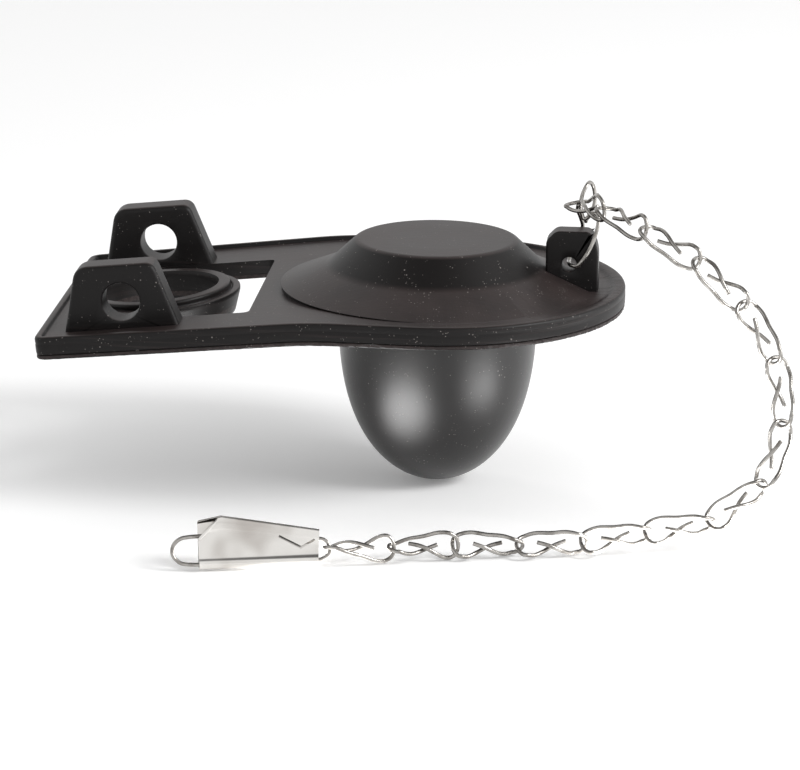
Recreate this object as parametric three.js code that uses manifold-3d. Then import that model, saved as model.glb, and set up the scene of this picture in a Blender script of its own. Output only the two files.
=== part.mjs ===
import * as THREE from "three";
import { mergeVertices } from "three/addons/utils/BufferGeometryUtils.js";
import Module from "manifold-3d";

// Toilet flapper: one rubber moulding that hangs on two overflow-tube pins, with a lift chain of
// twisted wire links and a snap clip. Millimetres, +Z up, origin midway between the two pin holes.

// Disc, measured from its own centre at the height of its rim bead
const discX = 60.41;
const discZ = -0.67;
const discRadius = 38.6;
const plateThickness = 3.77;
const beadHeight = 0.86;
const beadWidth = 1.5;
const plateBottom = -beadHeight - plateThickness;

// Hinge arms and the window between them
const armEnd = 77.2;
const armHalfWidth = 35.2;
const armCornerRadius = 5;
const windowHalfWidth = 22;
const windowNear = 35.6;
const windowFar = 60;
const windowCorner = 1.5;
const droopAngle = THREE.MathUtils.degToRad(5.8);
const droopStart = 16;
const droopEnd = 28;
const droopSteps = 4;

// Pin ears
const earOuter = 28.6;
const earThickness = 6.5;
const earHeight = 12.1;
const earHoleRadius = 3.8;
const earHoleX = -59.9;
const earHoleZ = 4.54;
const earFoot = [-71.9, -48.5];
const earHead = [-68.5, -52.7];
const earCorner = 2.2;
const earEdge = 0.5;

// Ring that slips over an overflow tube
const ringX = -57.2;
const ringBore = 12.4;
const ringRim = 15.1;
const ringFlange = 17;
const ringRimTop = 0.45;
const ringBottom = -6;
const ringSkirt = 15.4;

// Dome, bulb and chain lug
const domeBase = 31.7;
const domeShoulder = 22.1;
const domeShoulderZ = 3.3;
const domeTop = 16.3;
const domeTopZ = 8.8;
const domeEdge = 0.7;
const bulbX = 0.4;
const bulbRadius = 20.3;
const bulbDepth = 41.8;
const bulbPower = 2.6;
const roundSteps = 44;
const lugThickness = 5;
const lugLeft = 22.4;
const lugRight = 33.1;
const lugTop = 11.5;
const lugChamfer = 2;
const lugEdge = 0.6;
const lugHoleRadius = 1.5;
const lugHole = [27.15, 4.6];

// Chain wire and links: neighbouring crowns lie one wire and a small gap apart
const wireRadius = 0.425;
const chainGap = 0.3;
const wireSides = 8;
const linkHalfLength = 6.86;
const linkHalfWidth = 2.6;
const linkTwist = THREE.MathUtils.degToRad(45);
const linkTwistReach = 5;
const linkCross = 0.62;
const linkSteps = 34;
const lugLinkSteps = 54;
const crownSeat = wireRadius + chainGap / 2;
const linkPitch = 2 * (linkHalfLength - crownSeat);

// Clip: folded sheet sleeve over one bent wire
const sheet = 0.35;
const sleeveLength = 22.9;
const sleeveHalf = 1.15;
const sleeveSkew = 0.5;
const sleeveRight = 6.75;
const sleeveLeft = 9.2;
const sleeveApex = [4.4, 10.03];
const clipWireLow = 0.72;
const clipWireHigh = 6;
const clipLoopEnd = -5.05;
const clipEyeEnd = 25.35;
const clipEyeMiddle = 3.1;
const clipWireSteps = 52;
const clipHeading = THREE.MathUtils.degToRad(13);
const clipLean = THREE.MathUtils.degToRad(22);

const wasm = await Module();
wasm.setup();

function solid(geometry) {
  const bare = geometry.index ? geometry.toNonIndexed() : geometry.clone();
  bare.deleteAttribute("normal");
  bare.deleteAttribute("uv");
  const welded = mergeVertices(bare, 1e-4);
  const index = welded.index.array;
  const kept = [];
  for (let i = 0; i < index.length; i += 3) {
    const [a, b, c] = [index[i], index[i + 1], index[i + 2]];
    if (a !== b && b !== c && a !== c) kept.push(a, b, c);
  }
  const made = new wasm.Manifold(
    new wasm.Mesh({
      numProp: 3,
      vertProperties: welded.attributes.position.array,
      triVerts: new Uint32Array(kept),
    }),
  );
  return made;
}

function geometryOf(manifold) {
  const mesh = manifold.getMesh();
  const positions = new Float32Array(mesh.numVert * 3);
  for (let i = 0; i < mesh.numVert; i += 1)
    for (let k = 0; k < 3; k += 1)
      positions[3 * i + k] = mesh.vertProperties[mesh.numProp * i + k];
  const geometry = new THREE.BufferGeometry();
  geometry.setAttribute("position", new THREE.BufferAttribute(positions, 3));
  geometry.setIndex(new THREE.BufferAttribute(new Uint32Array(mesh.triVerts), 1));
  return geometry;
}

// Upright prism of a plan shape between two heights, its edges eased by a bevel
function slab(shape, bottom, top, edge = 0) {
  const geometry = new THREE.ExtrudeGeometry(shape, {
    depth: top - bottom - 2 * edge,
    bevelEnabled: edge > 0,
    bevelSize: edge,
    bevelThickness: edge,
    bevelOffset: -edge,
    bevelSegments: 1,
    curveSegments: 6,
  });
  geometry.translate(0, 0, bottom + edge);
  return solid(geometry);
}

// Prism of a side profile in X and Z, centred across Y
function sideSlab(shape, middle, thickness, edge) {
  const geometry = new THREE.ExtrudeGeometry(shape, {
    depth: thickness - 2 * edge,
    bevelEnabled: edge > 0,
    bevelSize: edge,
    bevelThickness: edge,
    bevelOffset: -edge,
    bevelSegments: 1,
    curveSegments: 4,
  });
  geometry.translate(0, 0, -thickness / 2 + edge);
  geometry.rotateX(Math.PI / 2);
  geometry.translate(0, middle, 0);
  return solid(geometry);
}

function turned(profile, x, segments) {
  const points = profile.map(([radius, z]) => new THREE.Vector2(radius, z));
  const geometry = new THREE.LatheGeometry(points, segments);
  geometry.rotateX(Math.PI / 2);
  geometry.translate(x, 0, 0);
  return solid(geometry);
}

function crossPin(x, z, radius, length) {
  const geometry = new THREE.CylinderGeometry(radius, radius, length, 24);
  geometry.translate(x, 0, z);
  return solid(geometry);
}

// Polygon with each corner rounded by its own radius
function roundedShape(corners) {
  const shape = new THREE.Shape();
  corners.forEach(([x, y, radius = 0], i) => {
    const before = corners[(i + corners.length - 1) % corners.length];
    const after = corners[(i + 1) % corners.length];
    const corner = new THREE.Vector2(x, y);
    const start = new THREE.Vector2(before[0], before[1]).sub(corner).setLength(radius).add(corner);
    const end = new THREE.Vector2(after[0], after[1]).sub(corner).setLength(radius).add(corner);
    if (i === 0) shape.moveTo(start.x, start.y);
    else shape.lineTo(start.x, start.y);
    if (radius > 0) shape.quadraticCurveTo(x, y, end.x, end.y);
  });
  shape.closePath();
  return shape;
}

// Plan outline: disc with two straight sides that run tangent to it from the hinge end
function plateShape(inset) {
  const radius = discRadius - inset;
  const end = armEnd - inset;
  const half = armHalfWidth - inset;
  const corner = armCornerRadius - inset / 2;
  const tangent = Math.acos(radius / Math.hypot(end, half)) - Math.atan2(end, half);
  const shape = new THREE.Shape();
  const arcSteps = 46;
  for (let i = 0; i <= arcSteps; i += 1) {
    const angle = Math.PI / 2 - tangent - ((Math.PI - 2 * tangent) * i) / arcSteps;
    const [x, y] = [radius * Math.cos(angle), radius * Math.sin(angle)];
    if (i === 0) shape.moveTo(x, y);
    else shape.lineTo(x, y);
  }
  shape.lineTo(-end + corner, -half);
  shape.quadraticCurveTo(-end, -half, -end, -half + corner);
  shape.lineTo(-end, half - corner);
  shape.quadraticCurveTo(-end, half, -end + corner, half);
  shape.closePath();
  return shape;
}

// Splits every triangle that crosses the plane at x, sharing the new points between neighbours
function splitAt(points, triangles, x) {
  const made = new Map();
  const crossing = (a, b) => {
    const [low, high] = a < b ? [a, b] : [b, a];
    const key = `${low} ${high}`;
    if (!made.has(key)) {
      const [p, q] = [points[low], points[high]];
      const t = (x - p[0]) / (q[0] - p[0]);
      points.push([x, p[1] + (q[1] - p[1]) * t, p[2] + (q[2] - p[2]) * t]);
      made.set(key, points.length - 1);
    }
    return made.get(key);
  };
  const near = 1e-5;
  return triangles.flatMap((triangle) => {
    const side = triangle.map((i) => (Math.abs(points[i][0] - x) < near ? 0 : Math.sign(points[i][0] - x)));
    if (!side.includes(1) || !side.includes(-1)) return [triangle];
    return [1, -1].flatMap((keep) => {
      const loop = [];
      triangle.forEach((corner, k) => {
        const next = (k + 1) % 3;
        if (side[k] !== -keep) loop.push(corner);
        if (side[k] * side[next] < 0) loop.push(crossing(corner, triangle[next]));
      });
      return loop.slice(2).map((last, k) => [loop[0], loop[k + 1], last]);
    });
  });
}

// The arms droop: the plate is bent in a few equal steps between droopStart and droopEnd
function drooped(flat) {
  const neutral = plateBottom / 2;
  const pitch = (droopEnd - droopStart) / droopSteps;
  const sections = [{ x: -droopStart, px: -droopStart, pz: neutral, angle: 0 }];
  for (let i = 1; i <= droopSteps; i += 1) {
    const last = sections[i - 1];
    const angle = (droopAngle * i) / droopSteps;
    const middle = (last.angle + angle) / 2;
    sections.push({
      x: last.x - pitch,
      px: last.px - pitch * Math.cos(middle),
      pz: last.pz - pitch * Math.sin(middle),
      angle,
    });
  }
  const mesh = flat.getMesh();
  const points = [];
  for (let i = 0; i < mesh.numVert; i += 1)
    points.push(Array.from(mesh.vertProperties.slice(i * mesh.numProp, i * mesh.numProp + 3)));
  let triangles = [];
  for (let i = 0; i < mesh.triVerts.length; i += 3)
    triangles.push(Array.from(mesh.triVerts.slice(i, i + 3)));
  for (const section of sections) triangles = splitAt(points, triangles, section.x);
  const bent = points.map(([x, y, z]) => {
    if (x >= -droopStart) return [x, y, z];
    const h = z - neutral;
    const at = (s, beyond) => [
      s.px - beyond * Math.cos(s.angle) - h * Math.sin(s.angle),
      s.pz - beyond * Math.sin(s.angle) + h * Math.cos(s.angle),
    ];
    const step = Math.floor((-droopStart - x) / pitch);
    const near = sections[Math.min(step, droopSteps)];
    if (step >= droopSteps) {
      const [bx, bz] = at(near, near.x - x);
      return [bx, y, bz];
    }
    const t = (near.x - x) / pitch;
    const [a, b] = [at(near, 0), at(sections[step + 1], 0)];
    return [a[0] + (b[0] - a[0]) * t, y, a[1] + (b[1] - a[1]) * t];
  });
  return new wasm.Manifold(
    new wasm.Mesh({
      numProp: 3,
      vertProperties: new Float32Array(bent.flat()),
      triVerts: new Uint32Array(triangles.flat()),
    }),
  );
}

function flatPlate() {
  const hollow = roundedShape([
    [-windowNear, -windowHalfWidth, windowCorner],
    [-windowNear, windowHalfWidth, windowCorner],
    [-windowFar, windowHalfWidth, windowCorner],
    [-windowFar, -windowHalfWidth, windowCorner],
  ]);
  const ringSolid = turned(
    [
      [0, ringBottom],
      [ringSkirt, ringBottom],
      [ringFlange, -beadHeight - 0.5],
      [ringFlange, -beadHeight],
      [ringRim, -beadHeight],
      [ringRim, ringRimTop - 0.3],
      [ringRim - 0.3, ringRimTop],
      [0, ringRimTop],
    ],
    ringX,
    roundSteps,
  );
  const bore = turned(
    [
      [0, ringBottom - 1],
      [ringBore, ringBottom - 1],
      [ringBore, ringRimTop + 1],
      [0, ringRimTop + 1],
    ],
    ringX,
    roundSteps,
  );
  const earShape = roundedShape([
    [earFoot[0] - 0.6, plateBottom + 1],
    [earFoot[1] + 0.6, plateBottom + 1],
    [earHead[1], earHeight, earCorner],
    [earHead[0], earHeight, earCorner],
  ]);
  const earMiddle = earOuter - earThickness / 2;
  const ears = [-earMiddle, earMiddle].map((y) => sideSlab(earShape, y, earThickness, earEdge));
  const pinHole = crossPin(earHoleX, earHoleZ, earHoleRadius, 2 * armHalfWidth + 10);
  return slab(plateShape(0), plateBottom, 0, 0.35)
    .subtract(slab(plateShape(beadWidth), -beadHeight, 2))
    .subtract(slab(hollow, plateBottom - 1, 2))
    .add(ringSolid)
    .subtract(bore)
    .add(wasm.Manifold.union(ears).subtract(pinHole));
}

function domeAndBulb() {
  const coneSlope = (domeShoulderZ + beadHeight) / (domeBase - domeShoulder);
  const sunk = 1.5;
  const dome = turned(
    [
      [0, -beadHeight - sunk],
      [domeBase + sunk / coneSlope, -beadHeight - sunk],
      [domeShoulder, domeShoulderZ],
      [domeTop + domeEdge * 0.6, domeTopZ - domeEdge * 0.6],
      [domeTop + domeEdge * 0.1, domeTopZ - domeEdge * 0.15],
      [domeTop - domeEdge, domeTopZ],
      [0, domeTopZ],
    ],
    0,
    roundSteps,
  );
  const bulbSteps = 10;
  const profile = [];
  for (let i = 0; i <= bulbSteps; i += 1) {
    const angle = (Math.PI / 2) * (1 - i / bulbSteps);
    const sink = Math.sin(angle) ** (2 / bulbPower);
    const radius = i === 0 ? 0 : bulbRadius * Math.cos(angle);
    profile.push([radius, plateBottom - (bulbDepth + plateBottom) * sink]);
  }
  profile.push([bulbRadius, plateBottom + 1], [0, plateBottom + 1]);
  return dome.add(turned(profile, bulbX, roundSteps));
}

function chainLug() {
  const foot = -beadHeight - lugEdge;
  const outline = roundedShape([
    [lugLeft, foot],
    [lugRight, foot],
    [lugRight, lugTop - 2 * lugChamfer, lugChamfer / 2],
    [lugRight - lugChamfer / 2, lugTop - lugChamfer / 2, lugChamfer / 3],
    [lugRight - lugChamfer, lugTop, lugChamfer / 3],
    [lugLeft + lugChamfer, lugTop, lugChamfer / 3],
    [lugLeft, lugTop - lugChamfer, lugChamfer / 3],
  ]);
  return sideSlab(outline, 0, lugThickness, lugEdge);
}

function flapperBody() {
  return drooped(flatPlate())
    .add(domeAndBulb())
    .add(chainLug())
    .subtract(crossPin(lugHole[0], lugHole[1], lugHoleRadius, lugThickness + 4))
    .translate([discX, 0, discZ]);
}

function wireAlong(curve, steps) {
  const section = new THREE.Shape();
  for (let i = 0; i < wireSides; i += 1) {
    const angle = (2 * Math.PI * (i + 0.5)) / wireSides;
    const [x, y] = [wireRadius * Math.cos(angle), wireRadius * Math.sin(angle)];
    if (i === 0) section.moveTo(x, y);
    else section.lineTo(x, y);
  }
  section.closePath();
  return new THREE.ExtrudeGeometry(section, { steps, bevelEnabled: false, extrudePath: curve });
}

// Centre line of a link: an open figure eight with one unbroken side, its two ends crossing in the
// middle, and the whole twisted along its length so that the end loops stand square to each other
class LinkCurve extends THREE.Curve {
  constructor() {
    super();
    const half = [
      [0, 0.85, 0],
      [0.5, 1, 0],
      [0.77, 0.94, 0],
      [0.948, 0.58, 0],
      [1, 0.04, 0],
      [0.962, -0.46, 0],
      [0.83, -0.88, 0.08],
      [0.6, -0.86, 0.32],
      [0.28, -0.5, 0.8],
      [-0.06, -0.12, 1],
      [-0.42, 0.12, 1],
    ];
    const place = ([s, w, n], side) =>
      new THREE.Vector3(side * s * linkHalfLength, w * linkHalfWidth, side * n * linkCross);
    const back = half.slice(1).reverse();
    this.flat = new THREE.CatmullRomCurve3(
      [...back.map((p) => place(p, -1)), ...half.map((p) => place(p, 1))],
      false,
      "centripetal",
    );
  }

  getPoint(t, target = new THREE.Vector3()) {
    const p = this.flat.getPoint(t);
    const reach = THREE.MathUtils.clamp(p.x / linkTwistReach, -1, 1);
    const angle = linkTwist * reach;
    return target.set(
      p.x,
      p.y * Math.cos(angle) - p.z * Math.sin(angle),
      p.y * Math.sin(angle) + p.z * Math.cos(angle),
    );
  }
}

// How each link lies, from the lug down to the clip, in degrees: heading of its length in plan, the
// fall of its length, and its roll about its length
const linkTurns = [
  [120, 7, 129],
  [134, -8, -40],
  [156, -23, -51],
  [161, -38, -56],
  [152, -53, 115],
  [115, -69, 151],
  [50, -63, -144],
  [20, -34, 78],
  [12, -8, 90],
  [9, -8, 85],
  [10, -2, 74],
  [11, 2, 89],
  [14, 0, 44],
  [15, 3, -153],
];

// Where the first of them hangs inside the lug link's upper loop, from the middle of the lug's hole
const upperLoopSeat = [0.76, -1.41, 12.51];

// Centre line of the link that holds the lug, from the middle of the lug's hole: the upper loop, the
// arch, down the near side, through the hole and up behind
const lugLinkPath = [
  [3, 1, 8.1],
  [3.7, 0.6, 9.7],
  [4.6, 1.2, 11.4],
  [4.8, 1.8, 13.2],
  [4.4, 1.6, 15.5],
  [3.8, 0.6, 16.5],
  [3.2, -1, 16.2],
  [2.4, -1.8, 14.4],
  [2.1, -1.6, 12.4],
  [2.3, -1, 10.5],
  [2.8, -0.8, 9.2],
  [3.6, -1, 9.6],
  [4.6, -1.6, 10.6],
  [5.7, -2.6, 10.3],
  [5.7, -3.6, 8.5],
  [4.7, -4.1, 5],
  [3.2, -4.1, 2],
  [1.7, -3.9, 0.1],
  [0.5, -2.9, 0],
  [-0.2, 0, -0.1],
  [-0.2, 2.6, 0],
  [-0.2, 3.9, 1.5],
  [1.1, 4.3, 4],
  [2.3, 4.1, 6.4],
  [1.9, 3.4, 8.5],
  [1.3, 2.8, 10.3],
  [1.4, 2.2, 11.5],
];

function turnMatrix([heading, fall, roll]) {
  const [x, y, z] = [roll, fall, heading].map(THREE.MathUtils.degToRad);
  return new THREE.Matrix4().makeRotationFromEuler(new THREE.Euler(x, y, z, "ZYX"));
}

function fromLugHole([x, y, z]) {
  return new THREE.Vector3(discX + lugHole[0] + x, y, discZ + lugHole[1] + z);
}

// Each link's matrix, and the crown seat that is left free at the chain's lower end
function hangChain() {
  const seat = fromLugHole(upperLoopSeat);
  const matrices = linkTurns.map((turn) => {
    const matrix = turnMatrix(turn);
    const along = new THREE.Vector3().setFromMatrixColumn(matrix, 0);
    const middle = seat.clone().addScaledVector(along, -linkPitch / 2);
    seat.addScaledVector(along, -linkPitch);
    return matrix.setPosition(middle);
  });
  return { matrices, seat };
}

// Clip frame: X along the clip to its eye, Y up the sheet, Z to the front; the eye holds the free seat
function clipMatrix(seat) {
  const along = new THREE.Vector3(Math.cos(clipHeading), Math.sin(clipHeading), 0);
  const away = new THREE.Vector3(-Math.sin(clipHeading), Math.cos(clipHeading), 0);
  const up = new THREE.Vector3(0, 0, Math.cos(clipLean)).addScaledVector(away, Math.sin(clipLean));
  const front = new THREE.Vector3().crossVectors(along, up);
  const origin = seat
    .clone()
    .addScaledVector(along, crownSeat - clipEyeEnd)
    .addScaledVector(up, -clipEyeMiddle);
  return new THREE.Matrix4().makeBasis(along, up, front).setPosition(origin);
}

// One wire: from inside the sleeve round the long loop at the left, back along the bottom fold and
// round the eye at the right
function clipWire() {
  const low = clipWireLow;
  const high = clipWireHigh;
  const middle = clipEyeMiddle;
  const points = [
    [15.5, high - 0.1],
    [8, high],
    [clipLoopEnd + 3.25, high],
    [clipLoopEnd + 1.55, high - 0.35],
    [clipLoopEnd + 0.35, high - 1.4],
    [clipLoopEnd, middle],
    [clipLoopEnd + 0.35, low + 1.4],
    [clipLoopEnd + 1.55, low + 0.33],
    [clipLoopEnd + 3.25, low],
    [10, low],
    [clipEyeEnd - 2.85, low],
    [clipEyeEnd - 1.15, low + 0.43],
    [clipEyeEnd - 0.2, middle - 1.2],
    [clipEyeEnd, middle],
    [clipEyeEnd - 0.45, middle + 1.1],
    [clipEyeEnd - 1.65, middle + 1.7],
    [clipEyeEnd - 3.15, middle + 1.6],
    [clipEyeEnd - 5.75, middle + 1],
  ].map(([x, y]) => new THREE.Vector3(x, y, 0));
  return wireAlong(new THREE.CatmullRomCurve3(points, false, "centripetal"), clipWireSteps);
}

// Round bar along the clip, cut flat at its underside
function foldBar(radius, start, end, underside) {
  const bar = new THREE.CylinderGeometry(radius, radius, end - start, 20);
  bar.rotateZ(Math.PI / 2);
  bar.translate((start + end) / 2, clipWireLow + wireRadius / 2, 0);
  return solid(bar).trimByPlane([0, 1, 0], underside);
}

// Folded sheet: a flat sleeve with a rolled bottom fold round the wire, its front cut away at the left
// behind a hemmed lip, and a spring notch pressed into the front at the right
function clipSleeve() {
  const bottom = -0.3;
  const [apexX, apexY] = sleeveApex;
  const past = 2;
  const outer = roundedShape([
    [0, bottom],
    [sleeveLength, bottom],
    [sleeveLength + sleeveSkew, sleeveRight],
    sleeveApex,
    [0, sleeveLeft],
  ]);
  const inner = roundedShape([
    [-past, bottom + sheet],
    [sleeveLength + past, bottom + sheet],
    [sleeveLength + past, sleeveRight - sheet - 0.28],
    [apexX, apexY - sheet],
    [0, sleeveLeft - sheet],
    [-past, sleeveLeft - 2 * sheet],
  ]);
  const tab = roundedShape([
    [-past, 4.2],
    [0, 5.5],
    [apexX - sheet, apexY - 0.6],
    [apexX - 2, sleeveLeft + 0.1],
    [-past, sleeveLeft - 0.6],
  ]);
  const notchX = sleeveLength - 2.9;
  const notch = roundedShape([
    [notchX - 4, 5.45],
    [notchX - 3.6, 5.1],
    [notchX, 3],
    [notchX + 2.5, 4.55],
    [notchX + 2.2, 4.95],
    [notchX, 3.6],
  ]);
  const lip = new THREE.LineCurve3(
    new THREE.Vector3(0.15, 5.35, sleeveHalf - 0.1),
    new THREE.Vector3(apexX - 0.15, apexY - 0.55, sleeveHalf - 0.1),
  );
  const front = sleeveHalf + 1;
  return slab(outer, -sleeveHalf, sleeveHalf, 0.12)
    .add(foldBar(sleeveHalf + 0.12, 2, sleeveLength - 0.2, bottom))
    .subtract(slab(inner, -sleeveHalf + sheet, sleeveHalf - sheet))
    .subtract(foldBar(sleeveHalf - sheet, -past, sleeveLength + past, bottom + sheet))
    .subtract(slab(tab, 0, front))
    .add(solid(wireAlong(lip, 1)))
    .subtract(slab(notch, 0, front));
}

const rubber = new THREE.MeshStandardMaterial({ color: 0x1b1a1b, roughness: 0.6, metalness: 0 });
const steel = new THREE.MeshStandardMaterial({ color: 0xb9b6b0, roughness: 0.3, metalness: 1 });
const group = new THREE.Group();

function addPart(name, geometry, material, matrix) {
  const mesh = new THREE.Mesh(geometry, material);
  mesh.name = name;
  if (matrix) mesh.applyMatrix4(matrix);
  group.add(mesh);
}

addPart("flapper_body", geometryOf(flapperBody()), rubber);
const chain = hangChain();
const topNumber = chain.matrices.length;
chain.matrices.forEach((matrix, i) => {
  const name = `chain_link_${String(topNumber - i).padStart(2, "0")}`;
  addPart(name, wireAlong(new LinkCurve(), linkSteps), steel, matrix);
});
const lugCurve = new THREE.CatmullRomCurve3(lugLinkPath.map(fromLugHole), false, "centripetal");
addPart("lug_link", wireAlong(lugCurve, lugLinkSteps), steel);
addPart("clip_wire", clipWire(), steel, clipMatrix(chain.seat));
addPart("clip_sleeve", geometryOf(clipSleeve()), steel, clipMatrix(chain.seat));

export default group;
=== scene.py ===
import bpy
import bmesh
import numpy as np
from mathutils import Vector, Matrix


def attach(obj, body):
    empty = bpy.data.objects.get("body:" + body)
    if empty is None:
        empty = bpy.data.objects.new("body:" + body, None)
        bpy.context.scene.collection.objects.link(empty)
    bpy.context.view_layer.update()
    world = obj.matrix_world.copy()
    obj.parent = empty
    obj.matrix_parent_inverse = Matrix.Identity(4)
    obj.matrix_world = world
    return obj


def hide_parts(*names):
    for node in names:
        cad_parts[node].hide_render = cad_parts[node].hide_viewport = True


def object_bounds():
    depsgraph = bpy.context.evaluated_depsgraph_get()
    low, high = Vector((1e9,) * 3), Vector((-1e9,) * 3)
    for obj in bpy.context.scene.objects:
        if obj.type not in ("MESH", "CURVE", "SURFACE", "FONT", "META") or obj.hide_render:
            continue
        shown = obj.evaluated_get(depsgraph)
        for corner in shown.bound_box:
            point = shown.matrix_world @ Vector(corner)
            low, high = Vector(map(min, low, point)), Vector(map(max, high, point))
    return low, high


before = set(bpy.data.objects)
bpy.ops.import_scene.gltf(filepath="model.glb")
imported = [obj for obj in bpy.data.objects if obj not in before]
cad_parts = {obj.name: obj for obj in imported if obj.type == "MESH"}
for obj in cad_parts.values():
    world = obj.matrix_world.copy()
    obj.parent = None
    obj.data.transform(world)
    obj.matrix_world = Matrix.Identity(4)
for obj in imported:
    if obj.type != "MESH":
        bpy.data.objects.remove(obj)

mm = 0.001
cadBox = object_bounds()
print("frame loaded:", len(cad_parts), "nodes")

# Camera fitted to the disc, dome, arms and ears of the photograph, 800 x 770 pixels: angles in radians
camera = {
    "place": (0.12737, -0.81277, 0.20533), "yaw": 0.091, "elevation": 0.273, "roll": 0.008,
    "focalPixels": 4126.7, "imageWidth": 800, "sensorWidth": 36.0, "clip": (0.05, 20.0),
}


# The view runs along (-sin yaw cos elevation, cos yaw cos elevation, -sin elevation), turned by the roll
def addCamera(c):
    yaw, elevation, roll = c["yaw"], c["elevation"], c["roll"]
    flat = np.cos(elevation)
    ahead = np.array([-np.sin(yaw) * flat, np.cos(yaw) * flat, -np.sin(elevation)])
    level = np.array([np.cos(yaw), np.sin(yaw), 0.0])
    above = np.cross(level, ahead)
    right = np.cos(roll) * level + np.sin(roll) * above
    up = np.cos(roll) * above - np.sin(roll) * level
    data = bpy.data.cameras.new("camera")
    data.sensor_width = c["sensorWidth"]
    data.lens = c["focalPixels"] * c["sensorWidth"] / c["imageWidth"]
    data.clip_start, data.clip_end = c["clip"]
    item = bpy.data.objects.new("camera", data)
    bpy.context.collection.objects.link(item)
    turn = Matrix([[*v] for v in zip(right, up, -ahead)]).to_4x4()
    item.matrix_world = Matrix.Translation(c["place"]) @ turn
    bpy.context.scene.camera = item


addCamera(camera)

# Plate, in millimetres from the disc's centre at the top of its rim bead
mould = {
    "discX": 60.41, "discZ": -0.67, "discRadius": 38.6, "thickness": 3.77, "beadHeight": 0.86,
    "armEnd": 77.2, "armHalfWidth": 35.2, "armCorner": 3.2, "cornerSteps": 18, "arcSteps": 300,
    "window": (-35.6, -60.0, 22.0, 1.5), "droop": np.radians(5.8), "droopStart": 16.0, "droopEnd": 28.0,
    "spine": (-55.0, 0.0), "step": 0.6, "sharp": np.radians(38),
    # shares of the way from the rim in to the middle line, at which each face has its rows
    "rows": (1, 0.85, 0.7, 0.5, 0.3, 0.1),
    # (inset, height) from the inner edge of the bead over its top and down the side wall to the underside
    "section": [
        (2.6, -0.86), (2.1, -0.84), (1.85, -0.76), (1.68, -0.56), (1.55, -0.3), (1.4, -0.12), (1.2, -0.03),
        (0.95, 0.0), (0.65, -0.02), (0.42, -0.08), (0.24, -0.2), (0.12, -0.38), (0.05, -0.62), (0.03, -0.9),
        (0.05, -1.3), (0.1, -1.5), (0.08, -1.62), (0.03, -1.75), (0.02, -2.4), (0.03, -3.2), (0.08, -3.5),
        (0.34, -3.62), (0.36, -3.72), (0.12, -3.8), (0.0, -3.92), (0.0, -4.3), (0.1, -4.5), (0.32, -4.62),
        (0.7, -4.63),
    ],
    # the lip lies below this height and is rough by this depth; the third is how much of it runs upright
    "lip": (-3.85, 0.16, 0.8), "seed": 4,
    # the bead's inner step widens into a slope between these shares of the disc's radius, up to this many
    # times, and is made of this many rows
    "fade": (0.45, 0.85, 2.6), "fadeRows": 7,
}
plateBottom = -mould["beadHeight"] - mould["thickness"]


# Vertices and quads of a grid of points whose columns close round
def gridSurface(points):
    rows, columns = points.shape[:2]
    i = np.arange(rows - 1)[:, None]
    j = np.arange(columns)[None, :]
    after = (j + 1) % columns
    corners = [i * columns + j, i * columns + after, (i + 1) * columns + after, (i + 1) * columns + j]
    return points.reshape(-1, 3), np.stack(corners, axis=-1).reshape(-1, 4)


# Object of a grid of points in millimetres, its poles merged and its faces turned outwards
def add(name, points):
    vertices, faces = gridSurface(points)
    mesh = bpy.data.meshes.new(name)
    mesh.from_pydata((vertices * mm).tolist(), [], faces.tolist())
    work = bmesh.new()
    work.from_mesh(mesh)
    bmesh.ops.remove_doubles(work, verts=work.verts, dist=2e-7)
    bmesh.ops.dissolve_degenerate(work, edges=work.edges, dist=1e-8)
    bmesh.ops.recalc_face_normals(work, faces=work.faces)
    work.to_mesh(mesh)
    work.free()
    item = bpy.data.objects.new(name, mesh)
    bpy.context.collection.objects.link(item)
    return item


# Profile of (radius, height) turned about the upright line through x
def revolved(profile, x, columns=360):
    profile = np.array(profile, float)
    angle = np.linspace(0, 2 * np.pi, columns, endpoint=False)
    radius, height = profile[:, :1], profile[:, 1:]
    return np.stack([x + radius * np.cos(angle), radius * np.sin(angle), height + 0 * angle], axis=-1)


# Quadratic arc from start to end that leaves and arrives along the lines through the corner
def arc(start, corner, end, count):
    start, corner, end = (np.array(p, float) for p in (start, corner, end))
    t = np.linspace(0, 1, count)[:, None]
    return (1 - t) ** 2 * start + 2 * t * (1 - t) * corner + t ** 2 * end


# Polyline of (a, b, radius) corners, each rounded by an arc that starts its radius before the corner
def rounded(corners, count=6, closed=True):
    made = []
    for k, (a, b, radius) in enumerate(corners):
        corner = np.array([a, b], float)
        if not closed and k in (0, len(corners) - 1):
            made.append(corner[None])
            continue
        ends = []
        for other in (corners[k - 1], corners[(k + 1) % len(corners)]):
            away = np.array(other[:2], float) - corner
            ends.append(corner + away / np.linalg.norm(away) * radius)
        made.append(arc(ends[0], corner, ends[1], count))
    return np.concatenate(made)


# The closed outline without its coincident points, and with points added so that none lie further apart
# than step
def dense(outline, step):
    outline = outline[np.linalg.norm(np.roll(outline, -1, 0) - outline, axis=1) > 1e-6]
    after = np.roll(outline, -1, 0)
    counts = np.maximum(1, np.ceil(np.linalg.norm(after - outline, axis=1) / step).astype(int))
    return np.concatenate([a + (b - a) * np.linspace(0, 1, n, endpoint=False)[:, None]
                           for a, b, n in zip(outline, after, counts)])


# Smooth step from 0 to 1
def smooth(value):
    t = np.clip(value, 0, 1)
    return t * t * (3 - 2 * t)


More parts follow.
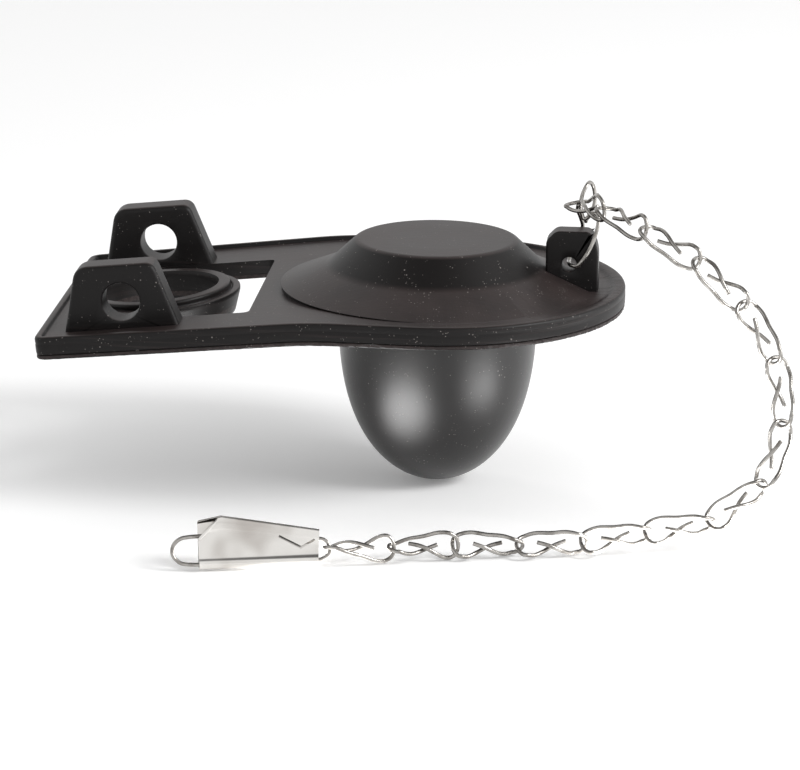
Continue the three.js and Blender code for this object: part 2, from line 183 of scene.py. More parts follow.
# Unit normals of a closed outline, each square to the chord between its neighbours
def outwards(outline):
    chord = np.roll(outline, -1, 0) - np.roll(outline, 1, 0)
    normal = np.stack([chord[:, 1], -chord[:, 0]], axis=1)
    normal /= np.linalg.norm(normal, axis=1, keepdims=True)
    after = np.roll(outline, -1, 0)
    return normal * np.sign(np.sum(outline[:, 0] * after[:, 1] - after[:, 0] * outline[:, 1]))


# Bends the arms: beyond droopStart the middle of the plate's thickness follows an arc whose radius is the
# arc's length over the droop angle, and beyond droopEnd it runs straight
def drooped(points):
    neutral = plateBottom / 2
    x, y, z = points[..., 0], points[..., 1], points[..., 2]
    length = mould["droopEnd"] - mould["droopStart"]
    radius = length / mould["droop"]
    beyond = -mould["droopStart"] - x
    angle = mould["droop"] * np.clip(beyond / length, 0, 1)
    rest = np.maximum(beyond - length, 0)
    height = z - neutral
    px = -mould["droopStart"] - (radius + height) * np.sin(angle) - rest * np.cos(angle)
    pz = neutral - radius * (1 - np.cos(angle)) - rest * np.sin(angle) + height * np.cos(angle)
    return np.where((beyond > 0)[..., None], np.stack([px, y, pz], axis=-1), points)


# Disc arc with two sides that run tangent to it from the hinge end, whose corners are quadratic arcs
def plateOutline():
    radius, end, half, corner = (mould[k] for k in ("discRadius", "armEnd", "armHalfWidth", "armCorner"))
    tangent = np.arccos(radius / np.hypot(end, half)) - np.arctan2(end, half)
    angle = np.linspace(tangent - np.pi / 2, np.pi / 2 - tangent, mould["arcSteps"])
    disc = radius * np.stack([np.cos(angle), np.sin(angle)], axis=1)
    high = arc((corner - end, half), (-end, half), (-end, half - corner), mould["cornerSteps"])
    return dense(np.concatenate([disc, high, high[::-1] * [1, -1]]), mould["step"])


# The section swept round the outline: each point is the outline moved inwards by its inset, at its height.
# The lip's rows are made rough, and both faces are ruled to a middle line
def plateSurface():
    outline = plateOutline()
    normal = outwards(outline)
    section = np.array(mould["section"])
    lipTop, lipDepth, wave = mould["lip"]
    random = np.random.default_rng(mould["seed"])
    rough = random.random((len(section), len(outline))) + random.random(len(outline))[None, :] * wave
    inset = section[:, :1] + lipDepth * rough * (section[:, 1:] < lipTop)
    start, end, wider = mould["fade"]
    slope = 1 + (wider - 1) * smooth((outline[:, 0] / mould["discRadius"] - start) / (end - start))
    inner = np.arange(len(section))[:, None] < mould["fadeRows"]
    inset = np.where(inner, inset[mould["fadeRows"]] + (inset - inset[mould["fadeRows"]]) * slope, inset)
    plan = outline[None] - normal[None] * inset[..., None]
    height = np.broadcast_to(section[:, 1:], inset.shape)[..., None]
    rim = np.concatenate([plan, height], axis=-1)
    middle = np.stack([np.clip(outline[:, 0], *mould["spine"]), 0 * outline[:, 1]], axis=1)
    share = np.array(mould["rows"])[:, None, None]

    def ruled(edge):
        spine = np.concatenate([middle, edge[:, 2:]], axis=1)
        return edge[None] + (spine - edge)[None] * share
    return drooped(np.concatenate([ruled(rim[0]), rim, ruled(rim[-1])[::-1]]))


# Outline stacked upwards by a section of (inset, height), closed at both ends by a shrinking fan
def lofted(outline, section, fan):
    normal = outwards(outline)
    rows = [np.column_stack([outline - normal * inset, np.full(len(outline), height)])
            for inset, height in section]

    def closing(row):
        middle = row.mean(0)
        return [middle + (row - middle) * share for share in (*fan, 0.0)]
    return np.array([*closing(rows[0])[::-1], *rows, *closing(rows[-1])])


# Turns the evaluated mesh, modifiers and all, into the object's own mesh
def applied(item):
    graph = bpy.context.evaluated_depsgraph_get()
    mesh = bpy.data.meshes.new_from_object(item.evaluated_get(graph))
    item.modifiers.clear()
    item.data = mesh
    return item


# Joins or cuts item by other with one boolean, and drops the other object
def combine(item, other, operation):
    step = item.modifiers.new("boolean", "BOOLEAN")
    step.operation, step.object, step.solver = operation, other, "MANIFOLD"
    applied(item)
    bpy.data.objects.remove(other)
    return item


ear = {
    "outer": 28.6, "thickness": 6.5, "hole": (-59.9, 4.54, 3.8), "mouth": (0.45, 0.5), "edge": 1.0,
    # (x, height, corner) round the side profile, from the foot's far end
    "profile": [(-72.5, -3.6, 1.5), (-47.9, -3.6, 1.5), (-52.7, 12.1, 1.8), (-68.5, 12.1, 2.6)],
}
ring = {
    "x": -57.2,
    # (radius, height, corner) from the middle of the underside, over flange and rim, to the middle
    "outside": [(0, -6, 0), (15.4, -6, 0.5), (16.9, -1.5, 0.3), (16.9, -0.78, 0.25), (15.5, -0.76, 0.3),
                (15.1, -1.1, 0.15), (14.95, -0.7, 0.2), (15.05, 0.45, 0.7), (13.2, 0.45, 0.5), (0, 0.45, 0)],
    "bore": [(0, -8, 0), (12.4, -8, 0), (12.4, -0.3, 0.5), (13.4, 2.5, 0), (0, 2.5, 0)],
}
dome = {
    # (radius, height, corner) from the sunk foot over the cone, the shoulder and the upper edge to the middle
    "profile": [(0, -2.4, 0), (31.4, -2.4, 0), (31.4, -0.95, 0.12), (31.75, -0.62, 0.18),
                (22.1, 3.3, 1.0), (16.3, 8.8, 0.8), (10.0, 8.84, 1.0), (0, 8.8, 0)],
    # the foot's step sinks into the plate between these degrees from +X, from this radius on, over this
    # width, and by this depth
    "sink": (75.0, 115.0, 29.0, 2.5, 0.42), "rootTop": -2.0, "steps": 8,
}
bulb = {"x": 0.4, "radius": 20.3, "depth": 41.8, "power": 2.6, "rows": 90}
# How finely the ears and the lug are made, and how far a cutting tool reaches past what it cuts
wall = {"edgeSteps": 6, "step": 0.5, "fan": (0.8, 0.5, 0.2), "pinColumns": 96, "past": 2.0}
lug = {
    "thickness": 5.0, "hole": (27.15, 4.6, 1.5), "mouth": (0.35, 0.35), "edge": 0.5,
    "profile": [(22.4, -2.2, 1.0), (33.1, -2.2, 1.0), (33.05, 7.5, 1.4), (32.1, 10.5, 0.9),
                (31.1, 11.45, 0.7), (24.4, 11.45, 0.9), (22.4, 9.4, 0.9)],
}


# Side profile in X and Z given a thickness across Y, its edges a quarter round
def sidePiece(outline, middle, thickness, edge):
    angle = np.linspace(0, np.pi / 2, wall["edgeSteps"])
    inset, depth = edge * (1 - np.sin(angle)), edge * (1 - np.cos(angle)) - thickness / 2
    section = np.column_stack([np.r_[inset, inset[::-1]], np.r_[depth, -depth[::-1]]])
    points = lofted(dense(outline, wall["step"]), section, wall["fan"])
    return np.stack([points[..., 0], middle + points[..., 2], points[..., 1]], axis=-1)


# Pin along Y for cutting a hole: its radius widens towards both faces of a wall, which eases the mouths
def pinCut(hole, mouth, middle, thickness):
    x, z, radius = hole
    wider, deep = mouth
    half, past = thickness / 2, thickness / 2 + wall["past"]
    rows = [(0, past), (radius + wider, past), (radius + wider, half),
            (radius + wider * 0.3, half - deep * 0.3), (radius, half - deep)]
    rows = np.array([(r, -y) for r, y in rows] + rows[::-1])
    angle = np.linspace(0, 2 * np.pi, wall["pinColumns"], endpoint=False)
    r, y = rows[:, :1], rows[:, 1:]
    return np.stack([x + r * np.cos(angle), middle + y + 0 * angle, z + r * np.sin(angle)], axis=-1)


# The profile turned about the upright line. Around the left and near sides the cone's foot stands on the
# plate with a small step, which sinks away towards the chain lug
def domeSurface():
    points = revolved(rounded(dome["profile"], dome["steps"], closed=False), 0)
    start, end, reach, width, depth = dome["sink"]
    turn = np.abs(np.degrees(np.arctan2(points[..., 1], points[..., 0])))
    away = 1 - smooth((turn - start) / (end - start))
    foot = smooth((np.hypot(points[..., 0], points[..., 1]) - reach) / width)
    points[..., 2] -= depth * away * foot * (points[..., 2] > dome["rootTop"])
    return points


# Joins the moulding's shapes one by one. The bulb's profile is the curve on which the radius's share is the
# cosine and the depth's share the sine of an angle, the sine raised to 2 over the power
def mouldedBody():
    body = add("flapperMoulding", plateSurface())
    near, far, half, corner = mould["window"]
    window = rounded([(near, -half, corner), (near, half, corner), (far, half, corner), (far, -half, corner)])
    hollow = lofted(window, [(0, plateBottom - wall["past"]), (0, 3)], (0.5,))
    combine(body, add("windowCut", drooped(hollow)), "DIFFERENCE")
    for name, key, operation in (("tubeRing", "outside", "UNION"), ("ringBore", "bore", "DIFFERENCE")):
        profile = rounded(ring[key], 6, closed=False)
        combine(body, add(name, drooped(revolved(profile, ring["x"], 240))), operation)
    profile = rounded(ear["profile"], 14)
    for side, label in ((-1, "nearEar"), (1, "farEar")):
        middle = side * (ear["outer"] - ear["thickness"] / 2)
        piece = add(label, drooped(sidePiece(profile, middle, ear["thickness"], ear["edge"])))
        pin = add("pinCut", drooped(pinCut(ear["hole"], ear["mouth"], middle, ear["thickness"])))
        combine(body, combine(piece, pin, "DIFFERENCE"), "UNION")
    combine(body, add("dome", domeSurface()), "UNION")
    angle = np.linspace(np.pi / 2, 0, bulb["rows"])
    sink = np.sin(angle) ** (2 / bulb["power"])
    height = plateBottom - (bulb["depth"] + plateBottom) * sink
    side = np.column_stack([bulb["radius"] * np.cos(angle), height])
    side = np.concatenate([side, [(bulb["radius"], plateBottom + 1), (0, plateBottom + 1)]])
    combine(body, add("floatBulb", revolved(side, bulb["x"])), "UNION")
    piece = add("chainLug", sidePiece(rounded(lug["profile"], 8), 0, lug["thickness"], lug["edge"]))
    combine(piece, add("lugCut", pinCut(lug["hole"], lug["mouth"], 0, lug["thickness"])), "DIFFERENCE")
    combine(body, piece, "UNION")
    body.data.transform(Matrix.Translation(Vector((mould["discX"], 0, mould["discZ"])) * mm))
    body.data.shade_smooth()
    body.data.set_sharp_from_angle(angle=mould["sharp"])
    step = body.modifiers.new("normals", "WEIGHTED_NORMAL")
    step.keep_sharp = True
    return applied(body)


body = mouldedBody()
print("moulding:", len(body.data.polygons), "faces")

# Wire, and the twisted link: the half line gives shares of the half length, the half width and the
# crossing height, from the middle of the long side round one crown to the free end
wire = {"radius": 0.403, "sides": 16, "rows": 150, "endRound": 0.12}
link = {
    "halfLength": 6.86, "halfWidth": 2.6, "cross": 0.62, "twist": np.radians(45), "twistReach": 5.0,
    # how far inside a link's end the point lies at which the next one holds it
    "seat": 0.575,
    "half": [(0, 0.85, 0), (0.5, 1, 0), (0.77, 0.94, 0), (0.948, 0.58, 0), (1, 0.04, 0),
             (0.962, -0.46, 0), (0.83, -0.88, 0.08), (0.6, -0.86, 0.32), (0.28, -0.5, 0.8),
             (-0.06, -0.12, 1), (-0.42, 0.12, 1)],
    # (heading, fall, roll) in degrees of each link, from the lug down to the clip
    "turns": [(120, 7, 129), (134, -8, -40), (156, -23, -51), (161, -38, -56), (152, -53, 115),
              (115, -69, 151), (50, -63, -144), (20, -34, 78), (12, -8, 90), (9, -8, 85), (10, -2, 74),
              (11, 2, 89), (14, 0, 44), (15, 3, -153)],
}

# Link that holds the lug, in millimetres from the middle of the lug's hole
lugLink = {
    "seat": (0.76, -1.41, 12.51),
    "path": [(3, 1, 8.1), (3.7, 0.6, 9.7), (4.6, 1.2, 11.4), (4.8, 1.8, 13.2), (4.4, 1.6, 15.5),
             (3.8, 0.6, 16.5), (3.2, -1, 16.2), (2.4, -1.8, 14.4), (2.1, -1.6, 12.4), (2.3, -1, 10.5),
             (2.8, -0.8, 9.2), (3.6, -1, 9.6), (4.6, -1.6, 10.6), (5.7, -2.6, 10.3), (5.7, -3.6, 8.5),
             (4.7, -4.1, 5), (3.2, -4.1, 2), (1.7, -3.9, 0.1), (0.5, -2.9, 0), (-0.2, 0, -0.1),
             (-0.2, 2.6, 0), (-0.2, 3.9, 1.5), (1.1, 4.3, 4), (2.3, 4.1, 6.4), (1.9, 3.4, 8.5),
             (1.3, 2.8, 10.3), (1.4, 2.2, 11.5)],
}
lugHole = np.array([mould["discX"] + lug["hole"][0], 0, mould["discZ"] + lug["hole"][1]])


# Curve through the points, sampled evenly along its length: between two points a cubic whose slopes there
# weigh the neighbouring chords by the roots of their lengths
def throughPoints(points, count):
    points = np.array(points, float)
    padded = np.concatenate([[2 * points[0] - points[1]], points, [2 * points[-1] - points[-2]]])
    u = np.linspace(0, len(points) - 1, 8 * count)
    k = np.minimum(u.astype(int), len(points) - 2)
    t = (u - k)[:, None]
    a, b, c, d = (padded[k + i] for i in range(4))
    ab, bc, cd = (np.sqrt(np.linalg.norm(q - p, axis=1, keepdims=True)) for p, q in ((a, b), (b, c), (c, d)))
    leave = ((b - a) / ab - (c - a) / (ab + bc) + (c - b) / bc) * bc
    arrive = ((c - b) / bc - (d - b) / (bc + cd) + (d - c) / cd) * bc
    bend, turn = 3 * (c - b) - 2 * leave - arrive, 2 * (b - c) + leave + arrive
    path = b + leave * t + bend * t ** 2 + turn * t ** 3
    length = np.concatenate([[0], np.cumsum(np.linalg.norm(np.diff(path, axis=0), axis=1))])
    at = np.linspace(0, length[-1], count)
    return np.stack([np.interp(at, length, path[:, i]) for i in range(3)], axis=1)


# Circle swept along the path, square to it, its ends eased; across is a direction that the path never follows
def tube(path, across, radius):
    tangent = np.gradient(path, axis=0)
    tangent /= np.linalg.norm(tangent, axis=1, keepdims=True)
    side = across - np.sum(across * tangent, axis=1, keepdims=True) * tangent
    side /= np.linalg.norm(side, axis=1, keepdims=True)
    other = np.cross(tangent, side)
    angle = np.linspace(0, 2 * np.pi, wire["sides"], endpoint=False)[None, :, None]
    order = np.concatenate([[0, 0], np.arange(len(path)), [len(path) - 1] * 2])
    scale, shift = np.ones(len(order)), np.zeros(len(order))
    scale[[0, 1, -2, -1]] = [0, 1 - wire["endRound"], 1 - wire["endRound"], 0]
    shift[[2, -3]] = np.array([1, -1]) * wire["endRound"] * radius
    centre = path[order] + tangent[order] * shift[:, None]
    turn = np.cos(angle) * side[order][:, None] + np.sin(angle) * other[order][:, None]
    return centre[:, None] + turn * (radius * scale)[:, None, None]


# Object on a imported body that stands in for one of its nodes
def place(item, bodyName, node, matrix=None):
    if matrix is not None:
        item.data.transform(matrix)
    item.data.shade_smooth()
    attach(item, bodyName)
    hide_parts(node)
    return item


# Matrices of the links from the lug down: each is turned by its roll, fall and heading, hangs from the
# seat of the one before, and leaves its own seat one pitch further on
def hangChain():
    seat = Vector(lugHole + lugLink["seat"])
    pitch = 2 * (link["halfLength"] - link["seat"])
    made = []
    for heading, fall, roll in link["turns"]:
        turn = Matrix.Identity(4)
        for degrees, axis in ((heading, "Z"), (fall, "Y"), (roll, "X")):
            turn = turn @ Matrix.Rotation(np.radians(degrees), 4, axis)
        along = turn.col[0].to_3d()
        made.append(Matrix.Translation((seat - along * pitch / 2) * mm) @ turn)
        seat = seat - along * pitch
    return made, seat


# Open figure eight with one unbroken side and two crossing ends, turned about its length by an angle that
# grows with the distance from its middle
def addLinks(matrices):
    half = np.array(link["half"])
    size = np.array([link["halfLength"], link["halfWidth"], link["cross"]])
    flat = throughPoints(np.concatenate([half[:0:-1] * [-1, 1, -1], half]) * size, wire["rows"])
    angle = link["twist"] * np.clip(flat[:, 0] / link["twistReach"], -1, 1)
    cosine, sine = np.cos(angle), np.sin(angle)
    x, y, z = flat.T
    path = np.column_stack([x, y * cosine - z * sine, y * sine + z * cosine])
    points = tube(path, np.column_stack([0 * angle, -sine, cosine]), wire["radius"])
    made = []
    for k, matrix in enumerate(matrices):
        number = f"{len(matrices) - k:02d}"
        item = add("wireLink" + number, points)
        made.append(place(item, "link_" + number, "chain_link_" + number, matrix))
    return made


# Bent wire through the lug's hole, swept along its own curve
def addLugLink():
    path = throughPoints(lugHole + np.array(lugLink["path"]), 2 * wire["rows"])
    across = np.linalg.svd(path - path.mean(0))[2][2]
    return place(add("wireLinkAtLug", tube(path, across[None], wire["radius"])), "lug_link", "lug_link")


chainMatrices, freeSeat = hangChain()
links = addLinks(chainMatrices) + [addLugLink()]
print("chain:", len(links), "links")

# Clip, in its own frame: X along it to the eye, Y up the sheet, Z to the front
clip = {
    "heading": np.radians(13), "lean": np.radians(22), "eyeEnd": 25.35, "eyeMiddle": 3.1,
    "wire": [(15.5, 5.9), (8, 6), (-1.8, 6), (-3.5, 5.65), (-4.7, 4.6), (-5.05, 3.1), (-4.7, 2.12),
             (-3.5, 1.05), (-1.8, 0.72), (10, 0.72), (22.5, 0.72), (24.2, 1.15), (25.15, 1.9),
             (25.35, 3.1), (24.9, 4.2), (23.7, 4.8), (22.2, 4.7), (19.6, 4.1)],
    "sheet": 0.3, "length": 22.9, "skew": 0.5, "bottom": -0.3, "depth": 1.12, "frontDepth": 1.0,
    "foldRadius": 1.25, "foldMiddle": 0.93, "apex": (4.4, 10.0), "left": 9.15, "right": 6.75,
    "topRound": 0.55, "stations": 90, "loop": 60, "past": 2,
    # the valley's depth, height and width, and its least share at the left
    "valley": (0.34, 3.1, 1.2), "valleyLeast": 0.05,
    # the crease's rise, its share of the height, its width, and what it has lost at the right
    "crease": (0.3, 0.8, 0.09), "creaseLoss": 0.6,
    "lip": [(0.15, 5.35, 0.95), (1.5, 6.7, 0.98), (2.9, 8.1, 0.95), (4.2, 9.4, 0.6)], "lipRadius": 0.34,
    # (x, height, corner) of what is cut through the front sheet, as deep as the reach
    "tab": [(-2, 4.2, 0), (0, 5.5, 0), (4.05, 9.45, 0.3), (2.4, 9.3, 0.3), (-2, 8.6, 0)],
    "notchLeft": [(15.6, 5.75, 0), (15.35, 5.3, 0), (19.7, 2.95, 0), (20.1, 3.35, 0)],
    "notchRight": [(19.65, 3.0, 0), (19.75, 3.5, 0), (22.3, 4.85, 0), (22.5, 4.45, 0)],
    "cutReach": 3,
}
acrossClip = np.array([[0, 0, 1.0]])


# The eye holds the chain's free seat, and the sheet leans back
def clipMatrix(seat):
    heading, lean = clip["heading"], clip["lean"]
    along = Vector((np.cos(heading), np.sin(heading), 0))
    up = Vector((-np.sin(heading) * np.sin(lean), np.cos(heading) * np.sin(lean), np.cos(lean)))
    origin = seat + along * (link["seat"] - clip["eyeEnd"]) - up * clip["eyeMiddle"]
    turn = Matrix([[*v] for v in zip(along, up, along.cross(up))]).to_4x4()
    return Matrix.Translation(origin * mm) @ turn


# Smooth hump of a given height about a middle, e to the minus the squared distance over the width squared
def hump(value, height, middle, width):
    return height * np.exp(-((value - middle) / width) ** 2)


# Flattened tube: the front's and the back's depths over the height go from a circle round the wire at the
# bottom to flat sheets, and close in a quarter round at the top fold. The front has a valley that deepens to
# the right and a crease below the fold. inset draws every wall inwards
def sleevePoints(inset, past):
    x = np.linspace(-past, clip["length"] + past, clip["stations"])
    s = np.clip(x / clip["length"], 0, 1)
    apexX, apexY = clip["apex"]
    top = np.interp(x, [0, apexX, clip["length"]], [clip["left"], apexY, clip["right"]]) - inset
    low = clip["bottom"] + inset
    t = (1 - np.cos(np.linspace(0, np.pi, clip["loop"]))) / 2
    y = low + (top - low)[:, None] * t[None]
    roll = np.sqrt(np.maximum((clip["foldRadius"] - inset) ** 2 - (y - clip["foldMiddle"]) ** 2, 0))
    blend = smooth((y - clip["foldMiddle"]) / clip["foldRadius"])
    depth = clip["depth"] - inset
    valley = hump(y, *clip["valley"]) * (clip["valleyLeast"] + (1 - clip["valleyLeast"]) * s[:, None])
    share = (y - low) / (top - low)[:, None]
    crease = hump(share, *clip["crease"]) * (1 - clip["creaseLoss"] * s[:, None])
    front = roll * (1 - blend) + (clip["frontDepth"] - inset - valley + crease) * blend
    back = roll * (1 - blend) + depth * blend
    near = np.clip((top[:, None] - y) / clip["topRound"], 0, 1)
    close = np.sqrt(np.maximum(near * (2 - near), 0))
    across = np.concatenate([front * close, -(back * close)[:, ::-1]], axis=1)
    high = np.concatenate([y, y[:, ::-1]], axis=1)
    wide = x[:, None] + clip["skew"] * s[:, None] * high / clip["right"]
    loop = np.stack([wide, high, across], axis=-1)
    first, last = loop[0].mean(0), loop[-1].mean(0)
    return np.concatenate([[first + 0 * loop[0]], loop, [last + 0 * loop[-1]]])


# The spring wire, and the sleeve: the outer tube less the inner one, with a tab opening, its hemmed lip and
# a V notch
def addClip(matrix):
    path = throughPoints([(a, b, 0) for a, b in clip["wire"]], 2 * wire["rows"])
    spring = add("clipSpringWire", tube(path, acrossClip, wire["radius"]))
    sleeve = add("clipSheet", sleevePoints(0, 0))
    combine(sleeve, add("sleeveHollow", sleevePoints(clip["sheet"], clip["past"])), "DIFFERENCE")
    for key in ("tab", "notchLeft", "notchRight"):
        cut = lofted(dense(rounded(clip[key], 5), 1.0), [(0, 0), (0, clip["cutReach"])], (0.5,))
        combine(sleeve, add(key + "Cut", cut), "DIFFERENCE")
        if key == "tab":
            lip = tube(throughPoints(clip["lip"], 60), acrossClip, clip["lipRadius"])
            combine(sleeve, add("hemmedLip", lip), "UNION")
    sleeve.data.set_sharp_from_angle(angle=mould["sharp"])
    return place(spring, "clip", "clip_wire", matrix), place(sleeve, "clip", "clip_sleeve", matrix)


clipWire, clipSleeve = addClip(clipMatrix(freeSeat))
print("clip sleeve:", len(clipSleeve.data.polygons), "faces")


# Wraps a node's output socket, so that + - and * on it add Math nodes
class Socket:
    def __init__(self, tree, socket):
        self.tree, self.socket = tree, socket

    def math(self, operation, *values):
        return self.tree.node("ShaderNodeMath", {"operation": operation}, values)

    def __add__(self, other):
        return self.math("ADD", self, other)

    def __sub__(self, other):
        return self.math("SUBTRACT", self, other)

    def __rsub__(self, other):
        return self.math("SUBTRACT", other, self)

    def __mul__(self, other):
        return self.math("MULTIPLY", self, other)

    __radd__, __rmul__ = __add__, __mul__

    def size(self):
        return self.math("ABSOLUTE", self)


# A node tree, and one method that adds any node: settings are its properties, values its inputs
class Tree:
    def __init__(self, tree):
        self.nodes, self.links = tree.nodes, tree.links

    def feed(self, socket, value):
        if isinstance(value, Socket):
            self.links.new(value.socket, socket)
        else:
            socket.default_value = value

    def node(self, kind, settings=None, values=None, output=0):
        made = self.nodes.new(kind)
        for key, value in (settings or {}).items():
            setattr(made, key, value)
        pairs = values.items() if isinstance(values, dict) else enumerate(values or [])
        for key, value in pairs:
            self.feed(made.inputs[key], value)
        return Socket(self, made.outputs[output])

    def where(self, scale=(1, 1, 1), turn=(0, 0, 0)):
        place = self.node("ShaderNodeTexCoord", output="Object")
        return self.node("ShaderNodeMapping", {}, {"Vector": place, "Scale": scale, "Rotation": turn})

    def noise(self, where, scale, detail=3.0, roughness=0.55):
        values = {"Vector": where, "Scale": scale, "Detail": detail, "Roughness": roughness}
        return self.node("ShaderNodeTexNoise", {}, values, "Fac")

    def cells(self, where, scale):
        return self.node("ShaderNodeTexVoronoi", {}, {"Vector": where, "Scale": scale}, "Distance")

    def axis(self, vector, letter):
        return self.node("ShaderNodeSeparateXYZ", {}, [vector], letter)

    # Smooth step from 0 at low to 1 at high, which also runs downwards
    def step(self, value, low, high):
        values = {"Value": value, "From Min": low, "From Max": high}
        return self.node("ShaderNodeMapRange", {"interpolation_type": "SMOOTHSTEP"}, values)

    def mixColour(self, factor, first, second):
        return self.node("ShaderNodeMix", {"data_type": "RGBA"}, {0: factor, 6: first, 7: second}, 2)

    def bump(self, height, strength, distance):
        values = {"Height": height, "Strength": strength, "Distance": distance}
        return self.node("ShaderNodeBump", {}, values, "Normal")


# Material whose shader sockets take what build returns
def material(name, build):
    made = bpy.data.materials.new(name)
    made.use_nodes = True
    tree = Tree(made.node_tree)
    for socket, value in build(tree).items():
        tree.feed(tree.nodes["Principled BSDF"].inputs[socket], value)
    return made


rubberLook = {
    # the pale brown colour after deep is painted sheen on the upper faces and a painted highlight on the lip;
    # it also marks wear, the side's fine lines and speckle
    "deep": (0.0050, 0.0041, 0.0040, 1), "sheenAndWear": (0.032, 0.0235, 0.0225, 1), "dust": (0.36, 0.33, 0.31, 1),
    "specular": 0.22, "roughness": 0.38, "bump": (0.3, 0.00014),
    # the normal's Z between which a face begins to count as an upper one, and stops being an upright one
    "upward": (0.70, 0.93), "upright": (0.15, 0.5),
    # the arms fall by this share of the distance beyond this X, metres
    "droopFrom": 0.038, "droopShare": 0.1016,
    # heights over which the side begins, the lip below it begins and ends, and the bulb's skin begins
    "side": (0.0, -0.0007), "lip": ((-0.0044, -0.0047), (-0.0057, -0.0054)), "skin": (-0.0058, -0.0066),
    "skinWeight": 0.6, "skinRoughness": 0.34,
    # the scratched end of the disc begins between these two X
    "discEnd": (0.088, 0.097),
    # scale, detail and roughness of the noises, and how two of them are stretched and turned
    "broad": (70, 4), "grain": (1500, 3), "crackle": (520, 5, 0.7), "streak": (190, 4), "level": (1500, 2),
    "streakRun": ((1, 7, 7), (0, 0, 0.35)), "levelRun": (0.02, 0.02, 1),
    # noise values over which each begins to show
    "broadShows": (0.3, 0.7), "grainShows": (0.4, 0.7), "streakShows": (0.45, 0.7), "levelShows": (0.5, 0.75),
    # cells per metre and size of the specks, and scale and threshold of their scatter, coarse and fine
    "specks": ((700.0, 0.15, 0.07, 190, 0.56, 0.66), (1700.0, 0.22, 0.1, 420, 0.52, 0.64)),
    # how much of the sheen-and-wear colour each place has, and of the dust's colour each speck
    "topSheenAndWear": (0.55, 0.45), "wornSide": 0.35, "lipHighlightAndSpeckle": (0.5, 1.2), "dustCover": 0.6,
    # what each adds to the roughness, and to the relief
    "rougher": {"broad": 0.1, "scuff": 0.1, "dust": 0.2},
    "relief": {"grain": 0.35, "streak": 0.5, "scuff": 0.9, "level": 0.8, "dust": 0.5, "crackle": 0.9,
               "lip": 1.5},
}


# Satin black rubber with a faint brown cast. Upper faces are painted a paler brown as sheen, with patches of
# wear on top, so upright faces stay darker; fine lines run level round the plate's side, streaks cross the
# disc's end, and pale specks gather in patches
def rubberNodes(t):
    look = rubberLook
    where = t.where()
    along, z = t.axis(where, "X"), t.axis(where, "Z")
    beyond = along.math("MAXIMUM", look["droopFrom"] - along, 0.0)
    raised = z + look["droopShare"] * beyond
    facing = t.axis(t.node("ShaderNodeNewGeometry", output="Normal"), "Z")
    upward = t.step(facing, *look["upward"])
    upright = 1.0 - t.step(facing.size(), *look["upright"])
    skin = t.step(raised, *look["skin"])
    lip = t.step(raised, *look["lip"][0]) * t.step(raised, *look["lip"][1]) * upright
    side = upright * t.step(raised, *look["side"]) * (1.0 - skin)
    broad, grain, crackle = (t.noise(where, *look[key]) for key in ("broad", "grain", "crackle"))
    streak = t.noise(t.where(*look["streakRun"]), *look["streak"])
    level = t.noise(t.where(look["levelRun"]), *look["level"])
    coarse, fine = (t.step(t.cells(where, scale), far, near) * t.step(t.noise(where, patch, 3), low, high)
                    for scale, far, near, patch, low, high in look["specks"])
    dust = coarse.math("MAXIMUM", coarse, fine)
    scuff = t.step(along, *look["discEnd"]) * upward * t.step(streak, *look["streakShows"])
    (topSheen, topWear), (lipHighlight, lipSpeckle) = look["topSheenAndWear"], look["lipHighlightAndSpeckle"]
    # painted sheen: every upper face takes this share of the pale brown colour, and patches of wear add more
    sheenAndWear = upward * (topSheen + topWear * t.step(broad, *look["broadShows"]))
    sheenAndWear = sheenAndWear + look["wornSide"] * side * t.step(level, *look["levelShows"])
    # painted highlight: the lip's band takes a share of the pale brown colour, and the grain adds speckle
    sheenAndWear = sheenAndWear + lip * (lipHighlight + lipSpeckle * t.step(grain, *look["grainShows"]))
    colour = t.mixColour(sheenAndWear, look["deep"], look["sheenAndWear"])
    colour = t.mixColour(look["dustCover"] * dust, colour, look["dust"])
    rougher, rises = look["rougher"], look["relief"]
    rough = look["roughness"] + rougher["broad"] * broad + rougher["scuff"] * scuff + rougher["dust"] * dust
    relief = rises["grain"] * grain + rises["streak"] * streak * upward + rises["scuff"] * scuff
    relief = relief + rises["level"] * side * level + rises["dust"] * dust
    relief = relief + rises["crackle"] * skin * crackle + rises["lip"] * lip * grain
    return {"Base Color": colour, "Roughness": rough, "Specular IOR Level": look["specular"],
            "Coat Weight": look["skinWeight"] * skin, "Coat Roughness": look["skinRoughness"],
            "Normal": t.bump(relief, *look["bump"])}


wireLook = {
    "steel": (0.37, 0.355, 0.335, 1), "tarnish": (0.17, 0.158, 0.145, 1), "patches": (420, 4),
    "patchesShow": (0.42, 0.72), "roughness": 0.2, "rougher": 0.15, "grain": (2500, 2),
    "bump": (0.15, 0.00005),
}


# Drawn steel wire, grey against a pale ground, with patches of darker tarnish
def wireNodes(t):
    look = wireLook
    where = t.where()
    tarnish = t.step(t.noise(where, *look["patches"]), *look["patchesShow"])
    return {"Base Color": t.mixColour(tarnish, look["steel"], look["tarnish"]),
            "Roughness": look["roughness"] + look["rougher"] * tarnish, "Metallic": 1.0,
            "Normal": t.bump(t.noise(where, *look["grain"]), *look["bump"])}


sheetLook = {
    "bright": (0.76, 0.74, 0.71, 1), "grey": (0.50, 0.47, 0.44, 1), "wave": (90, 2), "waveShows": (0.4, 0.7),
    "fine": (900, 3), "fineRun": (1, 12, 12), "roughness": 0.16, "rougher": 0.1, "bump": (0.3, 0.0006),
}


# Bright folded sheet with soft waviness from pressing
def sheetNodes(t):
    look = sheetLook
    wave = t.noise(t.where(), *look["wave"])
    fine = t.noise(t.where(look["fineRun"]), *look["fine"])
    return {"Base Color": t.mixColour(t.step(wave, *look["waveShows"]), look["bright"], look["grey"]),
            "Roughness": look["roughness"] + look["rougher"] * fine, "Metallic": 1.0,
            "Normal": t.bump(wave, *look["bump"])}


